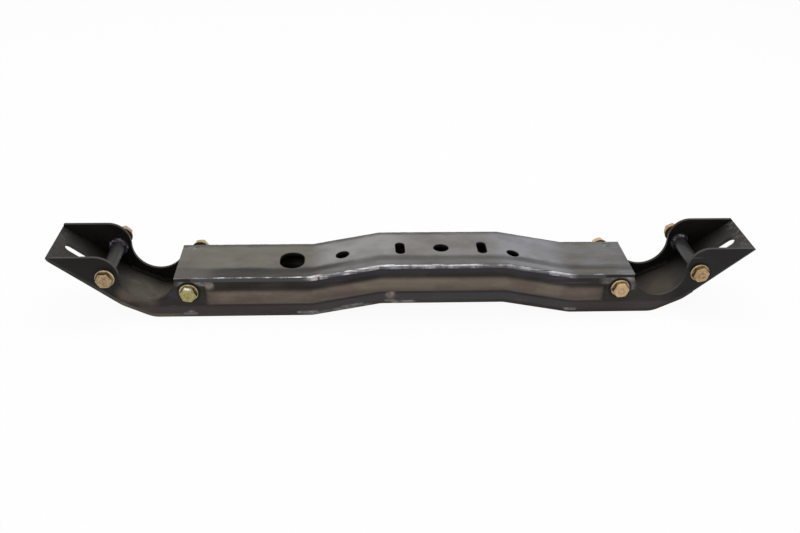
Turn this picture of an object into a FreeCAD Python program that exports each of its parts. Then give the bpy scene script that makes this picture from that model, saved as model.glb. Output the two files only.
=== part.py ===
import FreeCAD, Part
import math
import os

# Welded plate crossmember that carries a transmission between two frame rails.
# Millimetres, +X along the beam, +Y to the rear, +Z up.
# The origin is the axis of the pad's centre hole, at the top face of the pad.

# Beam
overall_length = 919.0          # tip to tip
beam_width = 89.0               # over the outer faces of the side plates
beam_height = 58.5              # over the top and bottom plates, beside the hump
top_thickness = 4.76
bottom_thickness = 4.76
side_thickness = 4.76

# Hump that lifts the pad
pad_offset = 47.0               # pad centre, to the right of the beam's middle
pad_length = 163.0              # flat top of the hump
hump_length = 344.0             # between the outer bends of the hump
hump_rise = 17.2
hump_bend_radius = 30.0

# Exhaust dips, one in each arm
dip_inset = 123.5               # tip to dip centre
dip_height = 60.0               # dip centre above the underside
dip_radius = 35.0
dip_corner_radius = 4.0         # inner top corner of each side plate
shoulder_radius = 28.0          # rounded outer edge of each dip
front_left_drop = 4.3           # front plate's left arm is cut lower than the others

# Sloping arms
first_bend_inset = 126.5        # tip to the arm's first bend
first_bend_angle = 26.0
second_bend_inset = 88.0        # tip to its second bend
left_arm_angle = 38.2
right_arm_angle = 39.4
arm_bend_radius = 34.0
tip_corner_radius = 1.0
front_left_tip_radius = 5.0     # ground rounder than the other three
left_arm_step = 2.0             # left side plates' top edge above the bottom plate's tip
ground_edge = 4.5               # bevel on the right arm's lower front edge, at the tip
ground_edge_start = 1.0         # same, at the arm's second bend

# Slots that bolt the arms to the frame
end_slot_width = 15.5
end_slot_length = 48.0
end_slot_edge = 13.3            # from the tip to the slot, along the slope
left_slot_rearward = 2.5        # left slot's middle behind the beam's

# Holes in the top plate, measured from the pad's centre hole
centre_hole_diameter = 21.0
pad_slot_width = 13.0
pad_slot_length = 31.5
pad_slot_spacing = 109.7
left_hole_diameter = 17.5
left_hole_distance = 131.5
right_hole_diameter = 17.5
right_hole_distance = 95.0
right_hole_forward = 12.0
access_hole_width = 33.0
access_hole_length = 43.0
access_hole_distance = 198.5

# Pressed stiffening bead along both side plates
bead_height = 27.0
bead_depth = 8.0
bead_crease_radius = 2.5
bead_bolt_gap = 19.5            # from each end of the bead to the inner bolt's axis
bead_ramp = 9.0
bead_lift = 30.0                # bead centre above the underside

# Through bolts, sleeves and flange nuts
bolt_offset = 52.0              # bolt axes either side of a dip's centre
inner_bolt_height = 37.5        # above the underside
outer_bolt_height = 60.0
bolt_diameter = 12.0
bolt_length = 127.0
bolt_hole_diameter = 13.0
hex_across_flats = 19.0
flange_diameter = 26.0
flange_rim = 2.0
flange_rise = 2.4               # cone between the rim and the hexagon
head_height = 9.8
nut_height = 13.0
nut_clearance = 0.1
left_tail_length = 0.5          # bolt end past the nut
right_tail_length = 4.0
sleeve_diameter = 17.2
sleeve_bore = 12.6

# Welds
seam_weld_height = 6.0
seam_weld_proud = 0.8
seam_weld_left_gap = 20.5       # bare seam between the top plate's end and the weld
seam_weld_right_gap = 37.5
stitch_height = 4.5
stitch_ramp = 3.0
hump_stitches = ((-193.0, -164.0), (-135.0, -103.0), (-78.0, -61.0), (163.0, 183.0))
arm_stitch = (38.0, 59.0)       # from the left arm's first bend
sleeve_weld_leg = 5.0
dip_weld_leg = 5.0
dip_weld_margin = 8.0           # weld past the dip's edges
weld_toe = 0.1                  # share of the leg left blunt at the toe

# Values worked out from those above
middle = -pad_offset
half_length = overall_length / 2
half_width = beam_width / 2
inner_half_width = half_width - side_thickness
underside = -(beam_height + hump_rise)
wall_height = beam_height - top_thickness - bottom_thickness
dip_distance = half_length - dip_inset
first_bend_distance = half_length - first_bend_inset
second_bend_distance = half_length - second_bend_inset
inner_bolt_distance = dip_distance - bolt_offset
outer_bolt_distance = dip_distance + bolt_offset
first_slope = math.radians(first_bend_angle)
arm_slopes = {-1: math.radians(left_arm_angle), 1: math.radians(right_arm_angle)}
hump_slope = math.atan2(hump_rise, (hump_length - pad_length) / 2)
knee_height = (second_bend_distance - first_bend_distance) * math.tan(first_slope)
tip_heights = {end: knee_height + second_bend_inset * math.tan(slope) for end, slope in arm_slopes.items()}
tip_tops = {end: tip_heights[end] + bottom_thickness * math.cos(slope) for end, slope in arm_slopes.items()}
arm_tops = {-1: underside + tip_tops[-1] + left_arm_step, 1: underside + tip_tops[1]}
top_underside = underside + beam_height - top_thickness
dip_centre_z = underside + dip_height
dip_outer_edge = dip_distance + dip_radius
dip_inner_edge = dip_distance - math.sqrt(dip_radius ** 2 - (top_underside - dip_centre_z) ** 2)


def point(x, z, y=0.0):
    return FreeCAD.Vector(x, y, z)


def hump_at(x):
    """Rise of the beam at x, for what follows its hump."""
    distance = abs(x)
    if distance <= pad_length / 2:
        return hump_rise
    if distance >= hump_length / 2:
        return 0.0
    return (hump_length / 2 - distance) * math.tan(hump_slope)


def hump_points(z):
    """The four bends of the hump on a line that runs at z beside it."""
    return [
        point(-hump_length / 2, z),
        point(-pad_length / 2, z + hump_rise),
        point(pad_length / 2, z + hump_rise),
        point(hump_length / 2, z),
    ]


def arm_points(end):
    """Underside of an arm at its two bends and its tip; end is -1 left, 1 right."""
    return [
        point(middle + end * first_bend_distance, underside),
        point(middle + end * second_bend_distance, underside + knee_height),
        point(middle + end * half_length, underside + tip_heights[end]),
    ]


def bottom_line():
    """Underside of the bottom plate from tip to tip, with its bend radii."""
    left = list(reversed(arm_points(-1)))
    points = left + hump_points(underside) + arm_points(1)
    arm_bends = [arm_bend_radius] * 2
    return points, arm_bends + [hump_bend_radius] * 4 + arm_bends


def top_line(reach):
    """Underside of the top plate, out to reach on both sides of the middle."""
    left_end = [point(middle - reach, top_underside)]
    right_end = [point(middle + reach, top_underside)]
    return left_end + hump_points(top_underside) + right_end, [hump_bend_radius] * 4


def bent_edges(points, radii, offset):
    """A line of straight runs and tangent arcs, moved sideways by offset to its upper side."""
    to_viewer = FreeCAD.Vector(0, -1, 0)
    runs = [(b - a).normalize() for a, b in zip(points, points[1:])]
    sides = [to_viewer.cross(run) for run in runs]
    edges = []
    start = points[0] + sides[0] * offset
    for index, radius in enumerate(radii):
        before, after = runs[index], runs[index + 1]
        turn = math.atan2(before.cross(after).dot(to_viewer), before.dot(after))
        corner = points[index + 1]
        tangent = radius * math.tan(abs(turn) / 2)
        arc_start = corner - before * tangent + sides[index] * offset
        arc_end = corner + after * tangent + sides[index + 1] * offset
        hand = math.copysign(1.0, turn)
        centre = corner - before * tangent + sides[index] * (radius * hand)
        middle_way = (sides[index] + sides[index + 1]).normalize()
        arc_middle = centre - middle_way * (hand * (radius - hand * offset))
        edges.append(Part.makeLine(start, arc_start))
        edges.append(Part.Arc(arc_start, arc_middle, arc_end).toShape())
        start = arc_end
    edges.append(Part.makeLine(start, points[-1] + sides[-1] * offset))
    return edges


def band(points, radii, low, high, y, width):
    """Solid between two offsets of a bent line, width deep from y towards +Y."""
    lower = bent_edges(points, radii, low)
    upper = bent_edges(points, radii, high)
    left_end = Part.makeLine(lower[0].Vertexes[0].Point, upper[0].Vertexes[0].Point)
    right_end = Part.makeLine(lower[-1].Vertexes[-1].Point, upper[-1].Vertexes[-1].Point)
    wire = Part.Wire(Part.__sortEdges__(lower + upper + [left_end, right_end]))
    solid = Part.Face(wire).extrude(FreeCAD.Vector(0, width, 0))
    solid.translate(FreeCAD.Vector(0, y, 0))
    return solid


def slot_tool(width, length, depth):
    """Prism of a round-ended slot, long way along Y, centred on the origin."""
    radius = width / 2
    reach = length / 2 - radius
    corners = [
        FreeCAD.Vector(radius, -reach, 0),
        FreeCAD.Vector(radius, reach, 0),
        FreeCAD.Vector(-radius, reach, 0),
        FreeCAD.Vector(-radius, -reach, 0),
    ]
    far_end = Part.Arc(corners[1], FreeCAD.Vector(0, reach + radius, 0), corners[2])
    near_end = Part.Arc(corners[3], FreeCAD.Vector(0, -reach - radius, 0), corners[0])
    edges = [
        Part.makeLine(corners[0], corners[1]),
        far_end.toShape(),
        Part.makeLine(corners[2], corners[3]),
        near_end.toShape(),
    ]
    tool = Part.Face(Part.Wire(edges)).extrude(FreeCAD.Vector(0, 0, depth))
    tool.translate(FreeCAD.Vector(0, 0, -depth / 2))
    return tool


def tip_trims():
    """Tools that round the corners of both tips."""
    depth = 2 * max(tip_tops.values())
    tools = []
    for end in (-1, 1):
        for side in (-1, 1):
            radius = front_left_tip_radius if end < 0 and side < 0 else tip_corner_radius
            corner_x = middle + end * (half_length - radius)
            corner_y = side * (half_width - radius)
            block = Part.makeBox(2 * radius, 2 * radius, depth)
            low_x = corner_x if end > 0 else corner_x - 2 * radius
            low_y = corner_y if side > 0 else corner_y - 2 * radius
            block.translate(FreeCAD.Vector(low_x, low_y, underside))
            rod = Part.makeCylinder(radius, depth, FreeCAD.Vector(corner_x, corner_y, underside))
            tools.append(block.cut(rod))
    return tools


def end_slot_place(end):
    """Middle of an arm's slot on the plate's mid surface; end is -1 left, 1 right."""
    slope = arm_slopes[end]
    along = end_slot_edge + end_slot_length / 2
    x = half_length - along * math.cos(slope) - bottom_thickness / 2 * math.sin(slope)
    z = tip_heights[end] - along * math.sin(slope) + bottom_thickness / 2 * math.cos(slope)
    return point(middle + end * x, underside + z, left_slot_rearward if end < 0 else 0.0)


def ground_bevel():
    """Wedge ground off the right arm's lower front edge, from its second bend past its tip."""
    bend, tip = arm_points(1)[1:]
    along = (tip - bend).normalize()
    up = FreeCAD.Vector(-along.z, 0, along.x)
    rear = FreeCAD.Vector(0, 1, 0)
    spare = ground_edge_start / 2
    ends = ((bend + along * arm_bend_radius / 2, ground_edge_start), (tip + along * spare, ground_edge))
    sections = []
    for place, size in ends:
        corner = place + rear * (-half_width - spare) - up * spare
        reach = size + 2 * spare
        triangle = [corner, corner + rear * reach, corner + up * reach, corner]
        sections.append(Part.makePolygon(triangle))
    return Part.makeLoft(sections, True, True)


def make_bottom_plate():
    points, radii = bottom_line()
    plate = band(points, radii, 0.0, bottom_thickness, -half_width, beam_width)
    tools = tip_trims() + [ground_bevel()]
    for end in (-1, 1):
        tool = slot_tool(end_slot_width, end_slot_length, 4 * bottom_thickness)
        tool.rotate(FreeCAD.Vector(), FreeCAD.Vector(0, 0, 1), 90)
        tool.rotate(FreeCAD.Vector(), FreeCAD.Vector(0, 1, 0), -end * math.degrees(arm_slopes[end]))
        tool.translate(end_slot_place(end))
        tools.append(tool)
    return plate.cut(tools)


def top_hole(width, length, x, y):
    """Tool for a hole in the top plate, square to the plate where it lies."""
    lean = 0.0
    if pad_length / 2 < abs(x) < hump_length / 2:
        lean = math.copysign(math.degrees(hump_slope), x)
    if width == length:
        tool = Part.makeCylinder(width / 2, 4 * top_thickness)
        tool.translate(FreeCAD.Vector(0, 0, -2 * top_thickness))
    else:
        tool = slot_tool(width, length, 4 * top_thickness)
    tool.rotate(FreeCAD.Vector(), FreeCAD.Vector(0, 1, 0), lean)
    mid_plate = top_underside + top_thickness / 2 + hump_at(x)
    tool.translate(point(x, mid_plate, y))
    return tool


def make_top_plate():
    points, radii = top_line(dip_inner_edge)
    plate = band(points, radii, 0.0, top_thickness, -half_width, beam_width)
    pad_slot = pad_slot_spacing / 2
    tools = [
        top_hole(centre_hole_diameter, centre_hole_diameter, 0.0, 0.0),
        top_hole(pad_slot_width, pad_slot_length, -pad_slot, 0.0),
        top_hole(pad_slot_width, pad_slot_length, pad_slot, 0.0),
        top_hole(left_hole_diameter, left_hole_diameter, -left_hole_distance, 0.0),
        top_hole(right_hole_diameter, right_hole_diameter, right_hole_distance, -right_hole_forward),
        top_hole(access_hole_width, access_hole_length, -access_hole_distance, 0.0),
    ]
    return plate.cut(tools)


def shoulder(end, top):
    """Rounded shoulder of an arm whose top edge is at height top, down to the dip's outer edge."""
    centre_x = dip_outer_edge + shoulder_radius
    slant = shoulder_radius * math.sqrt(0.5)
    high = point(middle + end * centre_x, top)
    halfway = point(middle + end * (centre_x - slant), top - shoulder_radius + slant)
    low = point(middle + end * dip_outer_edge, top - shoulder_radius)
    return high, low, Part.Arc(high, halfway, low).toShape()


def dip_edges(end):
    """Arm's end, top edge, shoulder and dip, from the tip to the top plate; end is -1 left, 1 right."""
    slope = arm_slopes[end]
    tip_x = middle + end * (half_length - bottom_thickness * math.sin(slope))
    tip_z = underside + tip_tops[end]
    high, low, arc = shoulder(end, arm_tops[end])
    dip_start = point(middle + end * dip_outer_edge, dip_centre_z)
    dip_bottom = point(middle + end * dip_distance, dip_centre_z - dip_radius)
    dip_end = point(middle + end * dip_inner_edge, top_underside)
    edges = [
        Part.makeLine(point(tip_x, high.z), high),
        arc,
        Part.makeLine(low, dip_start),
        Part.Arc(dip_start, dip_bottom, dip_end).toShape(),
    ]
    if high.z - tip_z > 1e-6:
        edges.append(Part.makeLine(point(tip_x, tip_z), point(tip_x, high.z)))
    return edges


def front_left_trim():
    """Tool that cuts the front plate's left arm lower."""
    high, low, arc = shoulder(-1, arm_tops[-1] - front_left_drop)
    past_tip = middle - 2 * half_length
    sky = arm_tops[-1] + beam_height
    corners = [low, point(low.x, sky), point(past_tip, sky), point(past_tip, high.z), high]
    lines = [Part.makeLine(a, b) for a, b in zip(corners, corners[1:])]
    tool = Part.Face(Part.Wire(Part.__sortEdges__(lines + [arc]))).extrude(FreeCAD.Vector(0, beam_width, 0))
    tool.translate(FreeCAD.Vector(0, -beam_width, 0))
    return tool


def flat_side_plate():
    """Blank of the front side plate, cut to its outline, before the bead is pressed."""
    points, radii = bottom_line()
    lower = bent_edges(points, radii, bottom_thickness)
    points, radii = top_line(dip_inner_edge)
    upper = bent_edges(points, radii, 0.0)
    wire = Part.Wire(Part.__sortEdges__(lower + upper + dip_edges(-1) + dip_edges(1)))
    blank = Part.Face(wire).extrude(FreeCAD.Vector(0, side_thickness, 0))
    blank.translate(FreeCAD.Vector(0, -half_width, 0))
    corners = []
    for edge in blank.Edges:
        ends = [vertex.Point for vertex in edge.Vertexes]
        across = len(ends) == 2 and abs(abs(ends[0].y - ends[1].y) - side_thickness) < 1e-6
        at_top = abs(ends[0].z - top_underside) < 1e-6
        at_dip = abs(abs(ends[0].x - middle) - dip_inner_edge) < 1e-6
        if across and at_top and at_dip:
            corners.append(edge)
    return blank.makeFillet(dip_corner_radius, corners)


def rib_section(x, z, half_height, depth, crease, inset, back):
    """Closed section at x of a rounded rib that stands proud of the front plate's outer face.

    Its crest is an arc, and a crease of the given radius runs it out into the face on each side.
    inset moves the outline into the plate, and back is how far behind the face it closes.
    """
    crest = (half_height ** 2 + depth ** 2) / (2 * depth) - crease
    crest_centre = depth - crest
    reach = half_height / (crest + crease)
    rise = (crease - crest_centre) / (crest + crease)
    crest_radius = crest - inset
    crease_radius = crease + inset
    half_turn = math.asin(reach) / 2

    def at(side, height, out):
        return FreeCAD.Vector(x, -half_width - out, z + side * height)

    def crest_point(side):
        return at(side, crest_radius * reach, crest_centre + crest_radius * rise)

    def crease_middle(side):
        height = half_height - crease_radius * math.sin(half_turn)
        return at(side, height, crease - crease_radius * math.cos(half_turn))

    edges = [Part.Arc(crest_point(-1), at(1, 0.0, depth - inset), crest_point(1)).toShape()]
    if crease > 0:
        foot = [at(side, half_height, -inset) for side in (-1, 1)]
        edges.insert(0, Part.Arc(foot[0], crease_middle(-1), crest_point(-1)).toShape())
        edges.append(Part.Arc(crest_point(1), crease_middle(1), foot[1]).toShape())
    else:
        foot = [crest_point(-1), crest_point(1)]
    if back > inset:
        rear = [at(side, half_height, -back) for side in (-1, 1)]
        edges.append(Part.makeLine(foot[1], rear[1]))
        edges.append(Part.makeLine(rear[1], rear[0]))
        edges.append(Part.makeLine(rear[0], foot[0]))
    else:
        edges.append(Part.makeLine(foot[1], foot[0]))
    return Part.Wire(edges)


def rib_end_tools(left, right, ramp, depth, inset):
    """Wedges that end a rib in slopes, each depth high and ramp long, set in by inset."""
    tools = []
    for x, inward in ((left, 1), (right, -1)):
        slope = FreeCAD.Vector(inward * ramp, -depth, 0)
        into = FreeCAD.Vector(inward * depth, ramp, 0).normalize()
        foot = FreeCAD.Vector(x, -half_width, underside) + into * inset
        away = FreeCAD.Vector(-inward * 6 * ramp, 0, 0)
        low = foot - slope * 2
        high = foot + slope * 3
        wedge = Part.Face(Part.makePolygon([low, high, high + away, low + away, low]))
        tools.append(wedge.extrude(point(0, beam_height + hump_rise)))
    return tools


def rib(left, right, ramp, centre, half_height, depth, crease, inset, back):
    """Rib along the front plate from left to right that follows the hump, its centre at height centre."""
    bends = [bend.x for bend in hump_points(0.0)]
    stations = [left] + [x for x in bends if left < x < right] + [right]
    spans = []
    for x, far_x in zip(stations, stations[1:]):
        section = rib_section(x, underside + centre + hump_at(x), half_height, depth, crease, inset, back)
        along = point(far_x - x, hump_at(far_x) - hump_at(x))
        spans.append(Part.Face(section).extrude(along))
    whole = spans[0].fuse(spans[1:]) if len(spans) > 1 else spans[0]
    return whole.cut(rib_end_tools(left, right, ramp, depth, inset))


def make_side_plate():
    """Side plate of the front, its tips not yet rounded."""
    reach = inner_bolt_distance - bead_bolt_gap
    left = middle - reach
    right = middle + reach
    half_height = bead_height / 2
    shape = (bead_ramp, bead_lift, half_height, bead_depth, bead_crease_radius)
    outer = rib(left, right, *shape, 0.0, side_thickness / 2)
    inner = rib(left, right, *shape, side_thickness, 2 * side_thickness)
    holes = []
    for places in bolt_places().values():
        for x, z, _ in places:
            start = point(x, z, -half_width - 1)
            holes.append(Part.makeCylinder(bolt_hole_diameter / 2, beam_width, start, FreeCAD.Vector(0, 1, 0)))
    return flat_side_plate().fuse(outer).cut([inner] + holes)


def bolt_places():
    """x, z and tail length of the through bolts: the pair outside the dips and the pair inside."""
    tails = ((-1, left_tail_length), (1, right_tail_length))
    outer_z = underside + outer_bolt_height
    inner_z = underside + inner_bolt_height
    return {
        "outer": [(middle + end * outer_bolt_distance, outer_z, tail) for end, tail in tails],
        "inner": [(middle + end * inner_bolt_distance, inner_z, tail) for end, tail in tails],
    }


def hexagon(height):
    """Hexagonal prism that grows along Y from the origin."""
    corner_radius = hex_across_flats / math.sqrt(3)
    turns = [math.radians(60 * corner) for corner in range(7)]
    corners = [point(corner_radius * math.cos(turn), corner_radius * math.sin(turn)) for turn in turns]
    return Part.Face(Part.makePolygon(corners)).extrude(FreeCAD.Vector(0, height, 0))


def flanged_hex(height):
    """Hexagon on a coned flange, its seat at the origin, growing towards +Y."""
    rim = flange_diameter / 2
    neck = hex_across_flats / 2
    profile = [
        FreeCAD.Vector(0, 0, 0),
        FreeCAD.Vector(rim, 0, 0),
        FreeCAD.Vector(rim, flange_rim, 0),
        FreeCAD.Vector(neck, flange_rim + flange_rise, 0),
        FreeCAD.Vector(0, flange_rim + flange_rise, 0),
        FreeCAD.Vector(0, 0, 0),
    ]
    flange = Part.Face(Part.makePolygon(profile)).revolve(FreeCAD.Vector(), FreeCAD.Vector(0, 1, 0), 360)
    return flange.fuse(hexagon(height)).removeSplitter()


def make_bolt(x, z):
    """Flange bolt with its head on the front plate and its shank through to the rear."""
    head = flanged_hex(head_height)
    head.rotate(FreeCAD.Vector(), FreeCAD.Vector(0, 0, 1), 180)
    radius = bolt_diameter / 2
    shank = Part.makeCylinder(radius, bolt_length, FreeCAD.Vector(), FreeCAD.Vector(0, 1, 0))
    far_edge = [edge for edge in shank.Edges if abs(edge.CenterOfMass.y - bolt_length) < 1e-6]
    shank = shank.makeChamfer(radius / 5, far_edge)
    bolt = head.fuse(shank).removeSplitter()
    bolt.translate(point(x, z, -half_width))
    return bolt


def make_nut(x, z, tail):
    """Flange nut run on until the bolt's tail shows past it, well short of the rear plate."""
    bore = bolt_diameter / 2 + nut_clearance
    drill = Part.makeCylinder(bore, 2 * nut_height, FreeCAD.Vector(0, -1, 0), FreeCAD.Vector(0, 1, 0))
    nut = flanged_hex(nut_height).cut(drill)
    seat = bolt_length - half_width - tail - nut_height
    nut.translate(point(x, z, seat))
    return nut


def make_sleeve(x, z):
    """Tube that keeps the side plates apart where a bolt clamps them."""
    start = point(x, z, -inner_half_width)
    along = FreeCAD.Vector(0, 1, 0)
    tube = Part.makeCylinder(sleeve_diameter / 2, 2 * inner_half_width, start, along)
    return tube.cut(Part.makeCylinder(sleeve_bore / 2, 2 * inner_half_width, start, along))


def make_sleeve_weld(x, z):
    """Fillet weld round a sleeve's rear end."""
    radius = sleeve_diameter / 2
    start = point(x, z, inner_half_width)
    forward = FreeCAD.Vector(0, -1, 0)
    foot = radius + sleeve_weld_leg
    toe = radius + weld_toe * sleeve_weld_leg
    cone = Part.makeCone(foot, toe, sleeve_weld_leg, start, forward)
    return cone.cut(Part.makeCylinder(radius, sleeve_weld_leg, start, forward))


def make_top_weld():
    """Ground weld along the front seam of the top plate."""
    left = middle - dip_inner_edge + seam_weld_left_gap
    right = middle + dip_inner_edge - seam_weld_right_gap
    seam = beam_height - top_thickness
    return rib(left, right, stitch_ramp, seam, seam_weld_height / 2, seam_weld_proud, 0.0, 0.0, 0.0)


def make_bottom_weld():
    """Stitches along the front seam of the bottom plate."""
    arm_bend = middle - first_bend_distance
    spans = [(arm_bend + arm_stitch[0], arm_bend + arm_stitch[1])] + list(hump_stitches)
    shape = (stitch_ramp, bottom_thickness, stitch_height / 2, seam_weld_proud, 0.0, 0.0, 0.0)
    return Part.makeCompound([rib(left, right, *shape) for left, right in spans])


def make_dip_weld(end, side):
    """Fillet weld inside a dip, where a side plate stands on the bottom plate."""
    points, radii = bottom_line()
    low = bottom_thickness
    high = bottom_thickness + dip_weld_leg
    y = inner_half_width - dip_weld_leg if side > 0 else -inner_half_width
    strip = band(points, radii, low, high, y, dip_weld_leg)
    length = 2 * (dip_radius + dip_weld_margin)
    window = Part.makeBox(length, beam_width, beam_width)
    window.translate(point(middle + end * dip_distance - length / 2, underside, -half_width))
    bar = strip.common(window)
    free_y = side * (inner_half_width - dip_weld_leg)
    crest = []
    for edge in bar.Edges:
        box = edge.BoundBox
        on_free_side = abs(box.YMin - free_y) < 1e-6 and abs(box.YMax - free_y) < 1e-6
        if on_free_side and box.XLength > 1.0 and above_floor(edge):
            crest.append(edge)
    return bar.makeChamfer((1 - weld_toe) * dip_weld_leg, crest)


def above_floor(edge):
    """True for an edge on the upper offset of a dip weld's bar."""
    points, radii = bottom_line()
    floor = Part.Wire(bent_edges(points, radii, bottom_thickness))
    place = edge.valueAt((edge.FirstParameter + edge.LastParameter) / 2)
    place.y = 0
    return floor.distToShape(Part.Vertex(place))[0] > dip_weld_leg / 2


def to_rear(shape):
    """The same piece on the rear side of the beam."""
    return shape.mirror(FreeCAD.Vector(), FreeCAD.Vector(0, 1, 0))


def make_pieces():
    side_plate = make_side_plate()
    top_weld = make_top_weld()
    bottom_weld = make_bottom_weld()
    pieces = {
        "bottom_plate": make_bottom_plate(),
        "top_plate": make_top_plate(),
        "front_side_plate": side_plate.cut([front_left_trim()] + tip_trims()),
        "rear_side_plate": to_rear(side_plate).cut(tip_trims()),
        "top_front_weld": top_weld,
        "top_rear_weld": to_rear(top_weld),
        "bottom_front_weld": bottom_weld,
        "bottom_rear_weld": to_rear(bottom_weld),
    }
    for pair, places in bolt_places().items():
        pieces[pair + "_bolts"] = Part.makeCompound([make_bolt(x, z) for x, z, _ in places])
        pieces[pair + "_nuts"] = Part.makeCompound([make_nut(*place) for place in places])
        pieces[pair + "_sleeves"] = Part.makeCompound([make_sleeve(x, z) for x, z, _ in places])
        pieces[pair + "_sleeve_welds"] = Part.makeCompound([make_sleeve_weld(x, z) for x, z, _ in places])
    for side_name, end in (("left", -1), ("right", 1)):
        for face_name, side in (("front", -1), ("rear", 1)):
            pieces[side_name + "_dip_" + face_name + "_weld"] = make_dip_weld(end, side)
    return pieces


os.makedirs("parts", exist_ok=True)
for node, shape in make_pieces().items():
    shape.exportStep("parts/" + node + ".step")
    print(node, "solids", len(shape.Solids), "volume", round(shape.Volume), "valid", shape.isValid())
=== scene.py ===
import bmesh
import bpy
import math
import numpy as np
from mathutils import Matrix, Vector


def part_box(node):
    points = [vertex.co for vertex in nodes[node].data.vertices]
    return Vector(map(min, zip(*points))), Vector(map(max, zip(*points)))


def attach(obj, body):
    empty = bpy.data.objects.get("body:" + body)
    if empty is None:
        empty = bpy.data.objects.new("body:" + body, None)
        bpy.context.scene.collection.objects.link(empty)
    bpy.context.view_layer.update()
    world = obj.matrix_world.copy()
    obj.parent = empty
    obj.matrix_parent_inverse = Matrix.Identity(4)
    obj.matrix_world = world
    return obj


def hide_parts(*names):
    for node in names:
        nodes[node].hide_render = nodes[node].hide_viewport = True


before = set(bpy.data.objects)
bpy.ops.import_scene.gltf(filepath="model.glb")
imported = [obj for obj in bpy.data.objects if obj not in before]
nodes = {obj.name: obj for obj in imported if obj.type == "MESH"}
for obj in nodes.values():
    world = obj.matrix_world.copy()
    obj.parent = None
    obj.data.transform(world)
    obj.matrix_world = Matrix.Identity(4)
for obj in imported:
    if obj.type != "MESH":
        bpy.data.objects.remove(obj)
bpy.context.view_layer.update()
print("frame loaded:", len(nodes), "nodes")

# The beam's own lines, in metres, as the frame has them. The pad's centre is x = 0.
beam = {
    "halfWidth": 0.0445,
    "plate": 0.00476,
    "height": 0.0585,       # over both plates, beside the hump
    "rise": 0.0172,         # of the hump
    "padHalf": 0.0815,
    "humpHalf": 0.172,
    "middle": -0.047,       # half way between the tips
    "dipReach": 0.336,      # from the middle to a dip's centre
    "dipRadius": 0.035,
    "dipHeight": 0.060,
}
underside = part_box("bottom_plate")[0].z
seamHeight = beam["height"] - beam["plate"]


def humpRise(x):
    # Rise of the beam's line over the straight underside: 0, slope, pad
    return beam["rise"] * np.clip((beam["humpHalf"] - np.abs(x)) / (beam["humpHalf"] - beam["padHalf"]), 0, 1)


# Shader helpers: each adds one node and returns the socket that it puts out

def addNode(tree, kind, **settings):
    node = tree.nodes.new(kind)
    for key, value in settings.items():
        setattr(node, key, value)
    return node


def feed(tree, socket, value):
    if isinstance(value, bpy.types.NodeSocket):
        tree.links.new(value, socket)
    elif value is not None:
        socket.default_value = value


def mathNode(tree, operation, first, second=None, clamp=False):
    node = addNode(tree, "ShaderNodeMath", operation=operation, use_clamp=clamp)
    feed(tree, node.inputs[0], first)
    feed(tree, node.inputs[1], second)
    return node.outputs[0]


def ramp(tree, value, low, high, outLow=0.0, outHigh=1.0, smooth=True):
    node = addNode(tree, "ShaderNodeMapRange", clamp=True)
    node.interpolation_type = "SMOOTHSTEP" if smooth else "LINEAR"
    feed(tree, node.inputs["Value"], value)
    for name, number in (("From Min", low), ("From Max", high), ("To Min", outLow), ("To Max", outHigh)):
        feed(tree, node.inputs[name], number)
    return node.outputs[0]


def noise(tree, where, scale, detail=4.0, roughness=0.55, stretch=None):
    if stretch:
        mapping = addNode(tree, "ShaderNodeMapping")
        feed(tree, mapping.inputs["Vector"], where)
        mapping.inputs["Scale"].default_value = stretch
        where = mapping.outputs[0]
    node = addNode(tree, "ShaderNodeTexNoise")
    feed(tree, node.inputs["Vector"], where)
    node.inputs["Scale"].default_value = scale
    node.inputs["Detail"].default_value = detail
    node.inputs["Roughness"].default_value = roughness
    return node.outputs["Fac"]


def mixColour(tree, factor, first, second, blend="MIX"):
    node = addNode(tree, "ShaderNodeMix", data_type="RGBA", blend_type=blend)
    feed(tree, node.inputs["Factor"], factor)
    feed(tree, node.inputs["A"], first)
    feed(tree, node.inputs["B"], second)
    return node.outputs["Result"]


def newGroup(name, inputs, outputs):
    group = bpy.data.node_groups.new(name, "ShaderNodeTree")
    for label, kind in inputs:
        group.interface.new_socket(name=label, in_out="INPUT", socket_type=kind)
    for label, kind in outputs:
        group.interface.new_socket(name=label, in_out="OUTPUT", socket_type=kind)
    return group, group.nodes.new("NodeGroupInput"), group.nodes.new("NodeGroupOutput")


def useGroup(tree, group, **values):
    node = addNode(tree, "ShaderNodeGroup", node_tree=group)
    for label, value in values.items():
        feed(tree, node.inputs[label], value)
    return node.outputs


def buildBeamLines():
    # Height above the local underside, with the hump taken out, and the distance from the middle plane
    group, inside, outside = newGroup("beamLines", [("Where", "NodeSocketVector")], [
        ("Height", "NodeSocketFloat"), ("Side", "NodeSocketFloat"), ("Along", "NodeSocketFloat"),
        ("Depth", "NodeSocketFloat")])
    split = addNode(group, "ShaderNodeSeparateXYZ")
    group.links.new(inside.outputs["Where"], split.inputs[0])
    x, y, z = split.outputs
    rise = ramp(group, mathNode(group, "ABSOLUTE", x), beam["humpHalf"], beam["padHalf"], 0.0, beam["rise"],
                smooth=False)
    level = mathNode(group, "SUBTRACT", z, rise)
    group.links.new(mathNode(group, "SUBTRACT", level, underside), outside.inputs["Height"])
    group.links.new(mathNode(group, "ABSOLUTE", y), outside.inputs["Side"])
    group.links.new(x, outside.inputs["Along"])
    group.links.new(y, outside.inputs["Depth"])
    return group


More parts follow.
